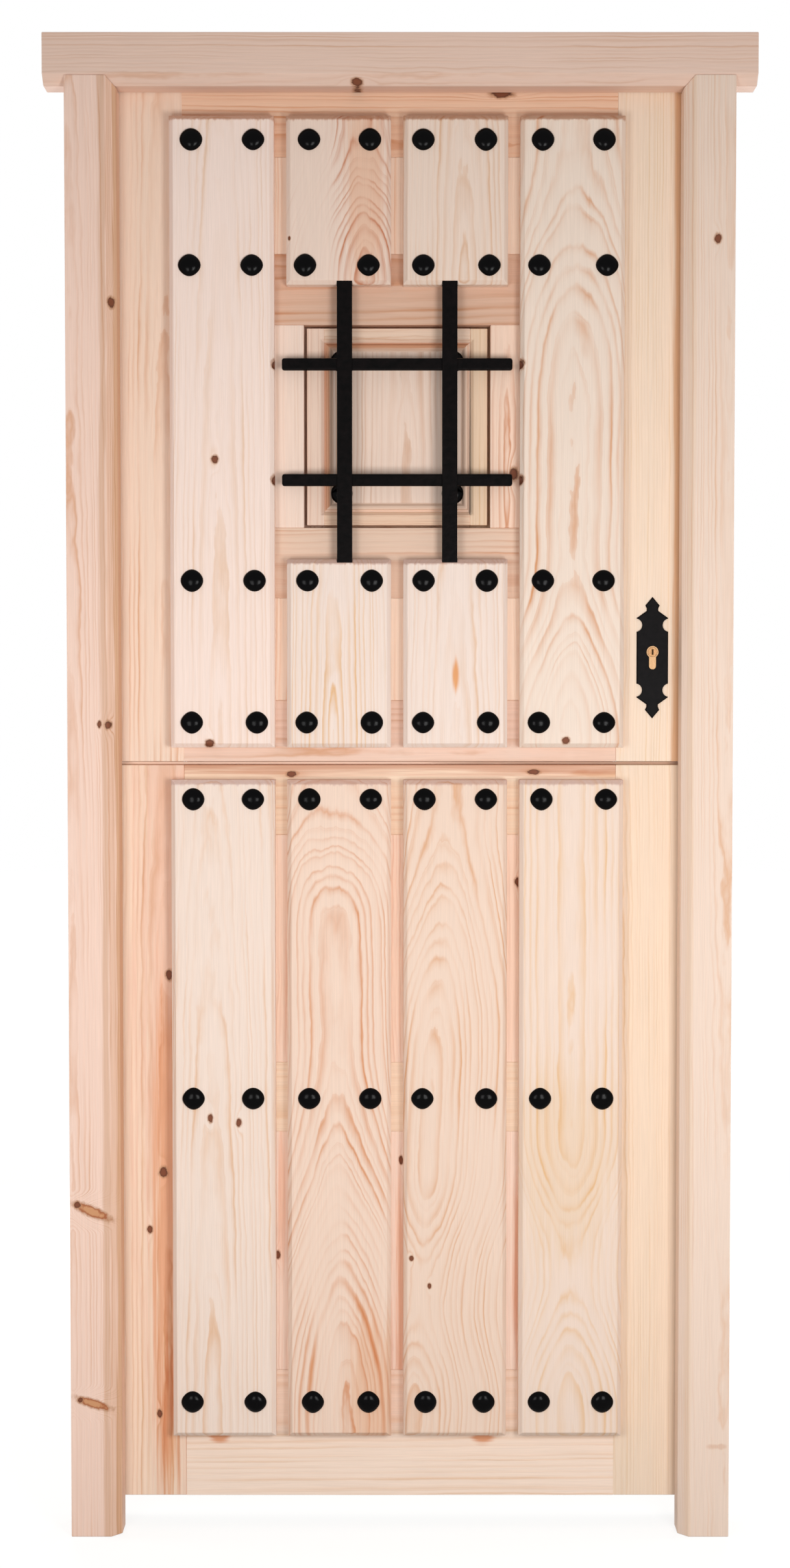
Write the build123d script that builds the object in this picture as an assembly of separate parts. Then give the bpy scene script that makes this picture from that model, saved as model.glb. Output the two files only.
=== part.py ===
from build123d import *
import os

os.makedirs("parts", exist_ok=True)

# Seen from outside the house: +X to the right, +Y into the house, +Z up. Millimetres.

# Frame of two jambs and a head, all planed from one moulded stock.
frame_height = 2085
frame_width = 920
frame_depth = 90
frame_wood = 70
frame_chamfer = 14
rebate_width = 13
horn_length = 30
frame_joint_gap = 1.5
frame_tenon_width = 30
frame_tenon_thickness = 24
frame_tenon_length = 40
origin_setback = 52

# Split leaf, two separate leaves one above the other.
leaf_thickness = 40
leaf_gap = 3
stop_gap = 1.5
floor_gap = 42
meeting_share = 0.51967
meeting_gap = 5
meeting_fall = 4.2
stile_width = 97
rail_width = 98
meeting_rail_width = 86
bottom_rail_width = 180
middle_rail_share = 0.5486
muntin_width = 55
tenon_thickness = 12
tenon_length = 55
tenon_shoulder = 12
stub_tenon_length = 15

# Boards nailed over the leaf frames.
board_count = 4
board_side_margin = 84.5
board_recess = 17
board_thickness = 26
board_chamfer = 6
boards_shift = -4
board_top_margin = 46
board_meeting_margin = 20
board_bottom_margin = 92
window_board_drop = 52
window_board_rise = 45

# Forged nails with domed heads and square shanks.
nail_head_radius = 14.5
nail_head_height = 8
nail_sides = 8
nail_slope_width = 8.4
nail_slope_height = 3.6
nail_round = 2.4
nail_shank = 6
nail_length = 50
nail_point_room = 2
top_row_drop = 34
window_row_rise = 26
sill_row_drop = 30
meeting_row_rise = 35
lower_row_drop = 27
middle_row_rise = 2
bottom_row_rise = 50

# Places of the two nails of each board, by hand, as shares of its half width.
top_row_shares = ((-0.57, 0.61), (-0.56, 0.60), (-0.62, 0.57), (-0.58, 0.59))
window_row_shares = ((-0.61, 0.58), (-0.64, 0.57), (-0.62, 0.64), (-0.64, 0.65))
sill_row_shares = ((-0.58, 0.62), (-0.60, 0.63), (-0.61, 0.60), (-0.56, 0.60))
meeting_row_shares = ((-0.59, 0.66), (-0.62, 0.63), (-0.62, 0.63), (-0.63, 0.62))
lower_row_shares = ((-0.57, 0.58), (-0.57, 0.61), (-0.59, 0.59), (-0.58, 0.66))
middle_row_shares = ((-0.58, 0.57), (-0.58, 0.60), (-0.63, 0.60), (-0.59, 0.61))
bottom_row_shares = ((-0.62, 0.60), (-0.52, 0.56), (-0.57, 0.56), (-0.60, 0.63))

# Window in the upper leaf.
window_side_room = 23.5
window_height_share = 0.3003
window_top_share = 0.3514

# Iron grille over the window.
grille_upright_width = 21
grille_upright_depth = 16
grille_cross_height = 17
grille_cross_depth = 8
grille_eye_gap = 0.3
grille_setback = 1.5
grille_side_room = 57
grille_end_gap = 10.5
grille_upper_drop = 57
grille_lower_rise = 65
spigot_width = 10
spigot_length = 25
peg_hole_radius = 8
peg_hole_depth = 20

# Shutter behind the grille, lipped all round, opening into the house.
shutter_gap = 4
shutter_setback = 6
shutter_lip = 10
shutter_lip_gap = 2
shutter_lip_thickness = 15
shutter_lip_back_gap = 0.5
shutter_stile_width = 24
shutter_rail_width = 19
shutter_panel_thickness = 14
shutter_panel_setback = 6
shutter_groove = 7
shutter_chamfer = 5
shutter_nail_side = 52
shutter_nail_end = 49
shutter_nail_length = 14

# Lift-off hinges of the two leaves, plates let into jamb and stile.
hinge_radius = 8
hinge_height = 110
hinge_plate_thickness = 2.5
hinge_plate_depth = 32
hinge_pin_radius = 4
hinge_pin_short = 3
hinge_end_distance = 160
hinge_running_gap = 0.08
hinge_knuckle_gap = 0.5
hinge_face_gap = 0.5

# Small lift-off hinges of the shutter, plates on the inside faces.
shutter_hinge_radius = 4.5
shutter_hinge_height = 46
shutter_hinge_plate = 1.8
shutter_hinge_reach = 24
shutter_hinge_pin_radius = 2.2
shutter_hinge_end_distance = 52

# Deadlock with a profile cylinder, in the lock stile of the upper leaf.
lock_backset = 46.5
cylinder_rise = 153.5
cylinder_radius = 8.5
cylinder_total_height = 33
cylinder_stem_width = 10
cylinder_proud = 1.5
cylinder_fit = 0.3
plug_radius = 6.5
plug_fit = 0.08
cam_radius = 14
cam_width = 8
cam_thickness = 9
cam_room = 1
keyway_width = 2.6
keyway_height = 8
keyway_depth = 10
escutcheon_thickness = 3
escutcheon_edge = 1.2
escutcheon_half_width = 22
escutcheon_half_height = 85
escutcheon_wing_height = 55.5
escutcheon_shoulder_height = 65.5
escutcheon_neck_half_width = 8
escutcheon_neck_height = 69
escutcheon_arrow_half_width = 10
escutcheon_arrow_height = 73
escutcheon_notch_radius = 9.3
escutcheon_notch_height = 45.5
escutcheon_notch_out = 1.5
lock_case_depth = 78
lock_case_height = 124
lock_case_thickness = 16
lock_case_wall = 1.5
lock_case_above = 60
forend_thickness = 3
forend_width = 24
forend_height = 190
bolt_height = 34
bolt_thickness = 10
bolt_length = 60
bolt_throw = 20
bolt_above_cylinder = 38
bolt_fit = 0.4
bolt_lug_width = 12
bolt_lug_gap = 1.5
strike_thickness = 2
strike_height = 150
strike_pocket_depth = 28

# Barrel bolt on the inside of the lower leaf and its keeper on the jamb.
slide_drop = 176
slide_rod_radius = 5
slide_rod_length = 112
slide_throw = 30
slide_rest_setback = 5
slide_plate_length = 92
slide_plate_height = 36
slide_plate_thickness = 2.5
slide_plate_setback = 8
slide_rod_clear = 1
slide_guide_width = 12
slide_guide_height = 18
slide_guide_wall = 3.5
slide_running_gap = 0.1
slide_knob_radius = 5
slide_knob_length = 14
slide_knob_setback = 62
keeper_width = 20
keeper_offset = 8
keeper_plate_length = 36
keeper_gap = 0.6

# Turn button that keeps the shutter shut.
button_length = 60
button_width = 16
button_thickness = 4
button_lift = 1
button_pivot_radius = 3
button_pivot_depth = 20
button_pivot_room = 1
button_pivot_fit = 0.08
button_edge_distance = 22
button_boss_radius = 6
button_corner = 4

overrun = 5

front_y = -origin_setback
back_y = front_y + frame_depth
leaf_back = back_y
leaf_front = leaf_back - leaf_thickness
leaf_middle = (leaf_front + leaf_back) / 2
stop_y = leaf_front - stop_gap
board_face = leaf_front - board_thickness

head_bottom = frame_height - frame_wood
jamb_top = head_bottom + frame_chamfer
rebate_top = head_bottom + rebate_width
jamb_outer = frame_width / 2
jamb_lip = jamb_outer - frame_wood
jamb_wall = jamb_lip + rebate_width
leaf_side = jamb_wall - leaf_gap
stile_edge = leaf_side - stile_width

meeting_height = meeting_share * frame_height
upper_z = (meeting_height + meeting_gap / 2, rebate_top - leaf_gap)
lower_z = (floor_gap, meeting_height - meeting_gap / 2)
upper_height = upper_z[1] - upper_z[0]
window_top = upper_z[1] - window_top_share * upper_height
window_z = (window_top - window_height_share * upper_height, window_top)
middle_rail_height = lower_z[0] + middle_rail_share * (lower_z[1] - lower_z[0])
cylinder_height = upper_z[0] + cylinder_rise
slide_height = lower_z[1] - slide_drop
grille_upper_height = window_z[1] - grille_upper_drop
grille_lower_height = window_z[0] + grille_lower_rise
boards_room = 2 * (leaf_side - board_side_margin) - (board_count - 1) * board_recess
board_width = boards_room / board_count
board_pitch = board_width + board_recess
board_middles = [boards_shift + board_pitch * step for step in (-1.5, -0.5, 0.5, 1.5)]
recess_middles = [boards_shift + board_pitch * step for step in (-1, 0, 1)]
window_width = 2 * (board_width - window_side_room) + board_recess
window_x = (boards_shift - window_width / 2, boards_shift + window_width / 2)


def around(middle, length):
    return (middle - length / 2, middle + length / 2)


def block(x, y, z):
    sizes = [high - low for low, high in (x, y, z)]
    middles = [(low + high) / 2 for low, high in (x, y, z)]
    return Pos(*middles) * Box(*sizes)


def prism(points, direction, amount):
    outline = make_face(Polyline(*points, close=True))
    return extrude(outline, amount=amount, dir=direction)


def upright_rod(x, y, z, radius):
    middle = (z[0] + z[1]) / 2
    return Pos(x, y, middle) * Cylinder(radius, z[1] - z[0])


def level_rod(x, y, z, radius):
    middle = (x[0] + x[1]) / 2
    return Pos(middle, y, z) * Rot(0, 90, 0) * Cylinder(radius, x[1] - x[0])


def deep_rod(x, y, z, radius):
    middle = (y[0] + y[1]) / 2
    return Pos(x, middle, z) * Rot(90, 0, 0) * Cylinder(radius, y[1] - y[0])


def group(pieces):
    return Compound([solid for piece in pieces for solid in piece.solids()])


nodes = {}

# Head: moulded stock with a chamfer outside and a rebate inside, its horns past the jambs.
head_ends = (-jamb_outer - horn_length, jamb_outer + horn_length)


def head_stock(lower):
    outline = [
        (head_ends[0], front_y, frame_height),
        (head_ends[0], back_y, frame_height),
        (head_ends[0], back_y, rebate_top - lower),
        (head_ends[0], stop_y, rebate_top - lower),
        (head_ends[0], stop_y, head_bottom - lower),
        (head_ends[0], front_y + frame_chamfer, head_bottom - lower),
        (head_ends[0], front_y, jamb_top - lower),
    ]
    return prism(outline, (1, 0, 0), head_ends[1] - head_ends[0])


def jamb_tenon(side, grow):
    return block(
        around(side * (jamb_outer + jamb_wall) / 2, frame_tenon_width),
        around((front_y + back_y) / 2, frame_tenon_thickness),
        (head_bottom - frame_tenon_length, rebate_top + frame_tenon_length + grow),
    )


# Jambs: the same stock upright, scribed under the head's profile and tenoned into it.


def jamb(side):
    outer = side * jamb_outer
    lip = side * jamb_lip
    wall = side * jamb_wall
    outline = [
        (outer, front_y, 0),
        (lip + side * frame_chamfer, front_y, 0),
        (lip, front_y + frame_chamfer, 0),
        (lip, stop_y, 0),
        (wall, stop_y, 0),
        (wall, back_y, 0),
        (outer, back_y, 0),
    ]
    post = prism(outline, (0, 0, 1), jamb_top)
    return post - head_stock(frame_joint_gap) + jamb_tenon(side, 0)


# Hinge halves: a plate let in flush, a knuckle and, on the jamb half, the pin.


def leaf_hinge(low, plate_x, axis_x, axis_y, on_jamb):
    middle = low + hinge_height / 2
    z = (low, low + hinge_height)
    if on_jamb:
        own = (low, middle - hinge_knuckle_gap / 2)
    else:
        own = (middle + hinge_knuckle_gap / 2, low + hinge_height)
    plate = block(plate_x, (leaf_back - hinge_plate_depth, leaf_back), z)
    web = block(plate_x, (leaf_back - hinge_plate_depth, axis_y), own)
    half = plate + web + upright_rod(axis_x, axis_y, own, hinge_radius)
    if on_jamb:
        half += upright_rod(axis_x, axis_y, (low, z[1] - hinge_pin_short), hinge_pin_radius)
    else:
        bore = (own[0] - overrun, own[1] - hinge_pin_short / 2)
        half -= upright_rod(axis_x, axis_y, bore, hinge_pin_radius + hinge_running_gap)
    return half


hinge_axis_x = -(jamb_wall + leaf_side) / 2
hinge_axis_y = leaf_back + hinge_radius + hinge_face_gap
jamb_plate_x = (-jamb_wall - hinge_plate_thickness, -jamb_wall)
leaf_plate_x = (-leaf_side, -leaf_side + hinge_plate_thickness)
upper_hinge_lows = [
    upper_z[0] + hinge_end_distance - hinge_height / 2,
    upper_z[1] - hinge_end_distance - hinge_height / 2,
]
lower_hinge_lows = [
    lower_z[0] + hinge_end_distance - hinge_height / 2,
    lower_z[1] - hinge_end_distance - hinge_height / 2,
]


def hinge_set(lows, plate_x, on_jamb):
    return [leaf_hinge(low, plate_x, hinge_axis_x, hinge_axis_y, on_jamb) for low in lows]


def hinge_pockets(lows, plate_x):
    deep = (leaf_back - hinge_plate_depth, leaf_back + overrun)
    return [block(plate_x, deep, (low, low + hinge_height)) for low in lows]


hinge_jamb = jamb(-1)
lock_jamb = jamb(1)
head = head_stock(0) - jamb_tenon(-1, frame_joint_gap) - jamb_tenon(1, frame_joint_gap)

for pocket in hinge_pockets(upper_hinge_lows + lower_hinge_lows, jamb_plate_x):
    hinge_jamb -= pocket

nodes["hinge_jamb"] = hinge_jamb
nodes["head"] = head
nodes["jamb_hinge_halves"] = group(
    hinge_set(upper_hinge_lows + lower_hinge_lows, jamb_plate_x, True)
)

# Strike plate and bolt pocket in the lock jamb.
bolt_z = around(cylinder_height + bolt_above_cylinder, bolt_height)
bolt_y = around(leaf_middle, bolt_thickness)
bolt_hole = block(
    (jamb_wall - overrun, jamb_wall + strike_pocket_depth),
    (bolt_y[0] - bolt_fit, bolt_y[1] + bolt_fit),
    (bolt_z[0] - bolt_fit, bolt_z[1] + bolt_fit),
)
strike_plate = block(
    (jamb_wall, jamb_wall + strike_thickness),
    around(leaf_middle, forend_width),
    around(cylinder_height + bolt_above_cylinder, strike_height),
)
lock_jamb -= bolt_hole
lock_jamb -= strike_plate
nodes["lock_jamb"] = lock_jamb
nodes["strike_plate"] = strike_plate - bolt_hole

# Leaf frames: stiles mortised for the rails, muntins stub-tenoned between the rails.
# Where the leaves meet, the edges fall to the outside so that rain runs off.
meeting_slot = prism(
    [
        (-jamb_outer, leaf_front, lower_z[1]),
        (-jamb_outer, leaf_back, lower_z[1] + meeting_fall),
        (-jamb_outer, leaf_back, upper_z[0] + meeting_fall),
        (-jamb_outer, leaf_front, upper_z[0]),
    ],
    (1, 0, 0),
    frame_width,
)
lower_top = lower_z[1] + meeting_fall


def stile(side, z):
    x = sorted((side * leaf_side, side * stile_edge))
    return block(x, (leaf_front, leaf_back), z) - meeting_slot


def rail(z):
    body = block((-stile_edge, stile_edge), (leaf_front, leaf_back), z)
    tenons = block(
        (-stile_edge - tenon_length, stile_edge + tenon_length),
        around(leaf_middle, tenon_thickness),
        (z[0] + tenon_shoulder, z[1] - tenon_shoulder),
    )
    return body - meeting_slot + tenons


def muntin(x, z):
    body = block(x, (leaf_front, leaf_back), z)
    stub = block(
        (x[0] + tenon_shoulder, x[1] - tenon_shoulder),
        around(leaf_middle, tenon_thickness),
        (z[0] - stub_tenon_length, z[1] + stub_tenon_length),
    )
    return body + stub


def cut(piece, tools):
    for tool in tools:
        piece -= tool
    return piece


top_rail_z = (upper_z[1] - rail_width, upper_z[1])
window_head_z = (window_z[1], window_z[1] + rail_width)
window_sill_z = (window_z[0] - rail_width, window_z[0])
upper_bottom_z = (upper_z[0], upper_z[0] + meeting_rail_width)
lower_top_z = (lower_z[1] - rail_width, lower_top)
middle_rail_z = around(middle_rail_height, rail_width)
bottom_rail_z = (lower_z[0], lower_z[0] + bottom_rail_width)

# Boards: chamfered round their outside face.


def board(middle, z):
    plank = block(around(middle, board_width), (board_face, leaf_front), z)
    outside = plank.faces().sort_by(Axis.Y)[0]
    return chamfer(outside.edges(), board_chamfer)


upper_board_z = (upper_z[0] + board_meeting_margin, upper_z[1] - board_top_margin)
window_top_board_z = (window_z[1] + window_board_drop, upper_board_z[1])
window_bottom_board_z = (upper_board_z[0], window_z[0] - window_board_rise)
lower_board_z = (lower_z[0] + board_bottom_margin, lower_z[1] - board_meeting_margin)

# Nails: head hammered to a facetted dome, square shank through the board into the rail.

def nail_head():
    head = extrude(Plane.XZ * RegularPolygon(nail_head_radius, nail_sides), amount=nail_head_height)
    top = head.faces().sort_by(Axis.Y)[0]
    head = chamfer(top.edges(), nail_slope_width, nail_slope_height, reference=top)
    ledge = head.edges().group_by(Axis.Y)[2]
    return chamfer(ledge, nail_round)


hammered_head = nail_head()


def nail(x, z, face_y, length):
    shank = block(around(x, nail_shank), (face_y, face_y + length), around(z, nail_shank))
    return Pos(x, face_y, z) * hammered_head + shank


def shank_hole(x, z, face_y, length):
    return block(
        around(x, nail_shank),
        (face_y - overrun, face_y + length + nail_point_room),
        around(z, nail_shank),
    )


def row_places(z, shares):
    half = board_width / 2
    return [
        [(middle + share * half, z) for share in pair]
        for middle, pair in zip(board_middles, shares)
    ]


top_row = row_places(upper_board_z[1] - top_row_drop, top_row_shares)
window_row = row_places(window_top_board_z[0] + window_row_rise, window_row_shares)
sill_row = row_places(window_bottom_board_z[1] - sill_row_drop, sill_row_shares)
meeting_row = row_places(upper_board_z[0] + meeting_row_rise, meeting_row_shares)
lower_row = row_places(lower_board_z[1] - lower_row_drop, lower_row_shares)
middle_row = row_places(middle_rail_height + middle_row_rise, middle_row_shares)
bottom_row = row_places(lower_board_z[0] + bottom_row_rise, bottom_row_shares)


def holes(rows, column=None):
    chosen = [row if column is None else [row[column]] for row in rows]
    return [
        shank_hole(x, z, board_face, nail_length) for row in chosen for pair in row for x, z in pair
    ]


def nails(rows):
    return group([nail(x, z, board_face, nail_length) for row in rows for pair in row for x, z in pair])


# Grille: two uprights spigoted into the short boards, two cross bars through their eyes.
grille_front = board_face + grille_setback
grille_middle = grille_front + grille_upright_depth / 2
upright_z = (
    window_bottom_board_z[1] - board_chamfer,
    window_top_board_z[0] + board_chamfer,
)
cross_heights = (grille_lower_height, grille_upper_height)
left_edge = board_middles[0] + board_width / 2
right_edge = board_middles[3] - board_width / 2


def grille_upright(x):
    bar = block(
        around(x, grille_upright_width),
        (grille_front, grille_front + grille_upright_depth),
        upright_z,
    )
    bar += block(
        around(x, spigot_width),
        around(grille_middle, spigot_width),
        (upright_z[0] - spigot_length, upright_z[1] + spigot_length),
    )
    for height in cross_heights:
        bar -= block(
            around(x, grille_upright_width + 2 * overrun),
            around(grille_middle, grille_cross_depth + 2 * grille_eye_gap),
            around(height, grille_cross_height + 2 * grille_eye_gap),
        )
    return bar


def grille_cross(height):
    return block(
        (left_edge + grille_end_gap, right_edge - grille_end_gap),
        around(grille_middle, grille_cross_depth),
        around(height, grille_cross_height),
    )


upright_places = around(boards_shift, window_width - 2 * grille_side_room)
uprights = [grille_upright(x) for x in upright_places]
nodes["grille_left_upright"] = uprights[0]
nodes["grille_right_upright"] = uprights[1]
nodes["grille_lower_bar"] = grille_cross(grille_lower_height)
nodes["grille_upper_bar"] = grille_cross(grille_upper_height)

# Drilled holes in the edges of the long boards, level with the cross bars.


def peg_hole(height, edge, into):
    x = sorted((edge + into * peg_hole_depth, edge - into * overrun))
    return level_rod(x, grille_middle, height, peg_hole_radius)


upper_rows = [top_row, window_row, sill_row, meeting_row]
lower_rows = [lower_row, middle_row, bottom_row]

left_board = board(board_middles[0], upper_board_z)
right_board = board(board_middles[3], upper_board_z)
left_pegs = [peg_hole(height, left_edge, -1) for height in cross_heights]
right_pegs = [peg_hole(height, right_edge, 1) for height in cross_heights]
nodes["upper_left_board"] = cut(left_board, holes(upper_rows, 0) + left_pegs)
nodes["upper_right_board"] = cut(right_board, holes(upper_rows, 3) + right_pegs)
for column, name in ((1, "left"), (2, "right")):
    above = board(board_middles[column], window_top_board_z)
    below = board(board_middles[column], window_bottom_board_z)
    bar = [uprights[column - 1]]
    nodes[f"window_top_{name}_board"] = cut(above, holes([top_row, window_row], column) + bar)
    nodes[f"window_bottom_{name}_board"] = cut(below, holes([sill_row, meeting_row], column) + bar)
for column, name in enumerate(("first", "second", "third", "fourth")):
    plank = board(board_middles[column], lower_board_z)
    nodes[f"lower_{name}_board"] = cut(plank, holes(lower_rows, column))
nodes["upper_nails"] = nails(upper_rows)
nodes["lower_nails"] = nails(lower_rows)

# Window opening: a front edge the shutter stops against, a wider rebate behind it for the lip.
lip_y = leaf_back - shutter_lip_thickness
lip_grow = shutter_lip - shutter_gap + shutter_lip_gap
window_rebate = block(
    (window_x[0] - lip_grow, window_x[1] + lip_grow),
    (lip_y - shutter_lip_back_gap, leaf_back + overrun),
    (window_z[0] - lip_grow, window_z[1] + lip_grow),
)

upper_muntins = []
for middle in recess_middles:
    upper_muntins.append(muntin(around(middle, muntin_width), (window_head_z[1], top_rail_z[0])))
    upper_muntins.append(muntin(around(middle, muntin_width), (upper_bottom_z[1], window_sill_z[0])))
left_post_x = (recess_middles[0] - muntin_width / 2, window_x[0])
right_post_x = (window_x[1], recess_middles[2] + muntin_width / 2)
left_post = muntin(left_post_x, window_z)
right_post = muntin(right_post_x, window_z)
lower_muntins = []
for middle in recess_middles:
    lower_muntins.append(muntin(around(middle, muntin_width), (middle_rail_z[1], lower_top_z[0])))
    lower_muntins.append(muntin(around(middle, muntin_width), (bottom_rail_z[1], middle_rail_z[0])))

upper_rails = {
    "upper_top_rail": rail(top_rail_z),
    "window_head_rail": rail(window_head_z),
    "window_sill_rail": rail(window_sill_z),
    "upper_bottom_rail": rail(upper_bottom_z),
}
lower_rails = {
    "lower_top_rail": rail(lower_top_z),
    "lower_middle_rail": rail(middle_rail_z),
    "lower_bottom_rail": rail(bottom_rail_z),
}
upper_nail_rows = dict(zip(upper_rails, upper_rows))
lower_nail_rows = dict(zip(lower_rails, lower_rows))
for name, piece in upper_rails.items():
    tools = upper_muntins + [left_post, right_post] + holes([upper_nail_rows[name]])
    nodes[name] = cut(piece, tools) - window_rebate
for name, piece in lower_rails.items():
    nodes[name] = cut(piece, lower_muntins + holes([lower_nail_rows[name]]))
nodes["upper_muntins"] = group(upper_muntins)
nodes["lower_muntins"] = group(lower_muntins)

upper_hinge_stile = cut(stile(-1, upper_z), list(upper_rails.values()))
lower_stile_z = (lower_z[0], lower_top)
lower_hinge_stile = cut(stile(-1, lower_stile_z), list(lower_rails.values()))
upper_lock_stile = cut(stile(1, upper_z), list(upper_rails.values()))
nodes["lower_lock_stile"] = cut(stile(1, lower_stile_z), list(lower_rails.values()))
nodes["upper_hinge_stile"] = cut(upper_hinge_stile, hinge_pockets(upper_hinge_lows, leaf_plate_x))
nodes["lower_hinge_stile"] = cut(lower_hinge_stile, hinge_pockets(lower_hinge_lows, leaf_plate_x))
nodes["upper_hinge_halves"] = group(hinge_set(upper_hinge_lows, leaf_plate_x, False))
nodes["lower_hinge_halves"] = group(hinge_set(lower_hinge_lows, leaf_plate_x, False))

# Deadlock: case and forend in the lock stile, bolt, profile cylinder and its plug with the cam.
cylinder_x = leaf_side - lock_backset
stem_bottom = cylinder_height + cylinder_radius - cylinder_total_height


def cylinder_profile(y, grow):
    round_part = deep_rod(cylinder_x, y, cylinder_height, cylinder_radius + grow)
    stem_end = stem_bottom + cylinder_stem_width / 2
    stem = block(
        around(cylinder_x, cylinder_stem_width + 2 * grow),
        y,
        (stem_end, cylinder_height),
    )
    foot = deep_rod(cylinder_x, y, stem_end, cylinder_stem_width / 2 + grow)
    return round_part + stem + foot


plates_y = (leaf_front - escutcheon_thickness, leaf_back + escutcheon_thickness)
cylinder_y = (plates_y[0] - cylinder_proud, plates_y[1] + cylinder_proud)
through_y = (cylinder_y[0] - overrun, cylinder_y[1] + overrun)
cylinder_hole = cylinder_profile(through_y, cylinder_fit)

case_x = (leaf_side - forend_thickness - lock_case_depth, leaf_side - forend_thickness)
case_y = around(leaf_middle, lock_case_thickness)
case_z = (
    cylinder_height + lock_case_above - lock_case_height,
    cylinder_height + lock_case_above,
)
case_block = block(case_x, case_y, case_z)
forend_block = block(
    (leaf_side - forend_thickness, leaf_side),
    around(leaf_middle, forend_width),
    around((case_z[0] + case_z[1]) / 2, forend_height),
)
case_room = block(
    (case_x[0] + lock_case_wall, case_x[1] + overrun),
    (case_y[0] + lock_case_wall, case_y[1] - lock_case_wall),
    (case_z[0] + lock_case_wall, case_z[1] - lock_case_wall),
)
cylinder_mortise = block(
    around(cylinder_x, 2 * (cylinder_radius + cylinder_fit)),
    through_y,
    (stem_bottom - cylinder_fit, cylinder_height + cylinder_radius + cylinder_fit),
)
nodes["upper_lock_stile"] = cut(upper_lock_stile, [case_block, forend_block, cylinder_mortise])
nodes["lock_case"] = cut(case_block, [case_room, cylinder_mortise])
for name in upper_rails:
    nodes[name] -= case_block
forend_hole = block(
    (leaf_side - forend_thickness - overrun, leaf_side + overrun),
    (bolt_y[0] - bolt_fit, bolt_y[1] + bolt_fit),
    (bolt_z[0] - bolt_fit, bolt_z[1] + bolt_fit),
)
nodes["lock_forend"] = forend_block - forend_hole
dead_bolt = block((leaf_side - bolt_length, leaf_side), bolt_y, bolt_z)
dead_bolt += block(
    around(cylinder_x, bolt_lug_width),
    bolt_y,
    (cylinder_height + cam_radius + bolt_lug_gap, bolt_z[0] + overrun),
)
nodes["dead_bolt"] = dead_bolt

cam_cut = block(
    around(cylinder_x, 2 * cylinder_radius + 2 * overrun),
    around(leaf_middle, cam_thickness + 2 * cam_room),
    (cylinder_height - cam_radius - cam_room, cylinder_height + cylinder_radius + overrun),
)
cylinder_body = cylinder_profile(cylinder_y, 0)
cylinder_body -= deep_rod(cylinder_x, through_y, cylinder_height, plug_radius + plug_fit)
nodes["cylinder_body"] = cylinder_body - cam_cut

plug = deep_rod(cylinder_x, cylinder_y, cylinder_height, plug_radius)
cam_y = around(leaf_middle, cam_thickness)
cam = block(
    around(cylinder_x, cam_width),
    cam_y,
    (cylinder_height, cylinder_height + 2 * cam_radius),
)
plug += cam & deep_rod(cylinder_x, cam_y, cylinder_height, cam_radius)
for y in (
    (cylinder_y[0] - overrun, cylinder_y[0] + keyway_depth),
    (cylinder_y[1] - keyway_depth, cylinder_y[1] + overrun),
):
    plug -= block(around(cylinder_x, keyway_width), y, around(cylinder_height, keyway_height))
nodes["cylinder_plug"] = plug

# Escutcheons: sawn outline with round notches and arrow ends, bevelled round the face.
escutcheon_z = cylinder_height + cylinder_radius - cylinder_total_height / 2
escutcheon_quarter = (
    (escutcheon_half_width, escutcheon_wing_height),
    (escutcheon_neck_half_width, escutcheon_shoulder_height),
    (escutcheon_neck_half_width, escutcheon_neck_height),
    (escutcheon_arrow_half_width, escutcheon_arrow_height),
)


def escutcheon(back, out):
    right_up = [(cylinder_x + x, back, escutcheon_z + z) for x, z in escutcheon_quarter]
    left_up = [(cylinder_x - x, back, escutcheon_z + z) for x, z in reversed(escutcheon_quarter)]
    left_down = [(cylinder_x - x, back, escutcheon_z - z) for x, z in escutcheon_quarter]
    right_down = [(cylinder_x + x, back, escutcheon_z - z) for x, z in reversed(escutcheon_quarter)]
    top = [(cylinder_x, back, escutcheon_z + escutcheon_half_height)]
    bottom = [(cylinder_x, back, escutcheon_z - escutcheon_half_height)]
    outline = right_up + top + left_up + left_down + bottom + right_down
    plate = prism(outline, (0, out, 0), escutcheon_thickness)
    face = plate.faces().sort_by(Axis.Y)[0 if out < 0 else -1]
    plate = chamfer(face.edges(), escutcheon_edge)
    notch_x = escutcheon_half_width + escutcheon_notch_out
    y = sorted((back - out * overrun, back + out * (escutcheon_thickness + overrun)))
    for side in (-1, 1):
        for end in (-1, 1):
            x = cylinder_x + side * notch_x
            z = escutcheon_z + end * escutcheon_notch_height
            plate -= deep_rod(x, y, z, escutcheon_notch_radius)
    return plate - cylinder_hole


nodes["outer_escutcheon"] = escutcheon(leaf_front, -1)
nodes["inner_escutcheon"] = escutcheon(leaf_back, 1)

# Shutter: lipped stiles and rails grooved round a panel, four nails through the panel.
shutter_x = (window_x[0] + shutter_gap, window_x[1] - shutter_gap)
shutter_z = (window_z[0] + shutter_gap, window_z[1] - shutter_gap)
shutter_front = leaf_front + shutter_setback
lip_x = (shutter_x[0] - shutter_lip, shutter_x[1] + shutter_lip)
lip_z = (shutter_z[0] - shutter_lip, shutter_z[1] + shutter_lip)
shutter_whole = block(shutter_x, (shutter_front, leaf_back), shutter_z)
shutter_whole += block(lip_x, (lip_y, leaf_back), lip_z)
field_x = (shutter_x[0] + shutter_stile_width, shutter_x[1] - shutter_stile_width)
field_z = (shutter_z[0] + shutter_rail_width, shutter_z[1] - shutter_rail_width)
panel_front = shutter_front + shutter_panel_setback
shutter_panel = block(
    (field_x[0] - shutter_groove, field_x[1] + shutter_groove),
    (panel_front, panel_front + shutter_panel_thickness),
    (field_z[0] - shutter_groove, field_z[1] + shutter_groove),
)
far_x = (lip_x[0] - overrun, lip_x[1] + overrun)
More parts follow.
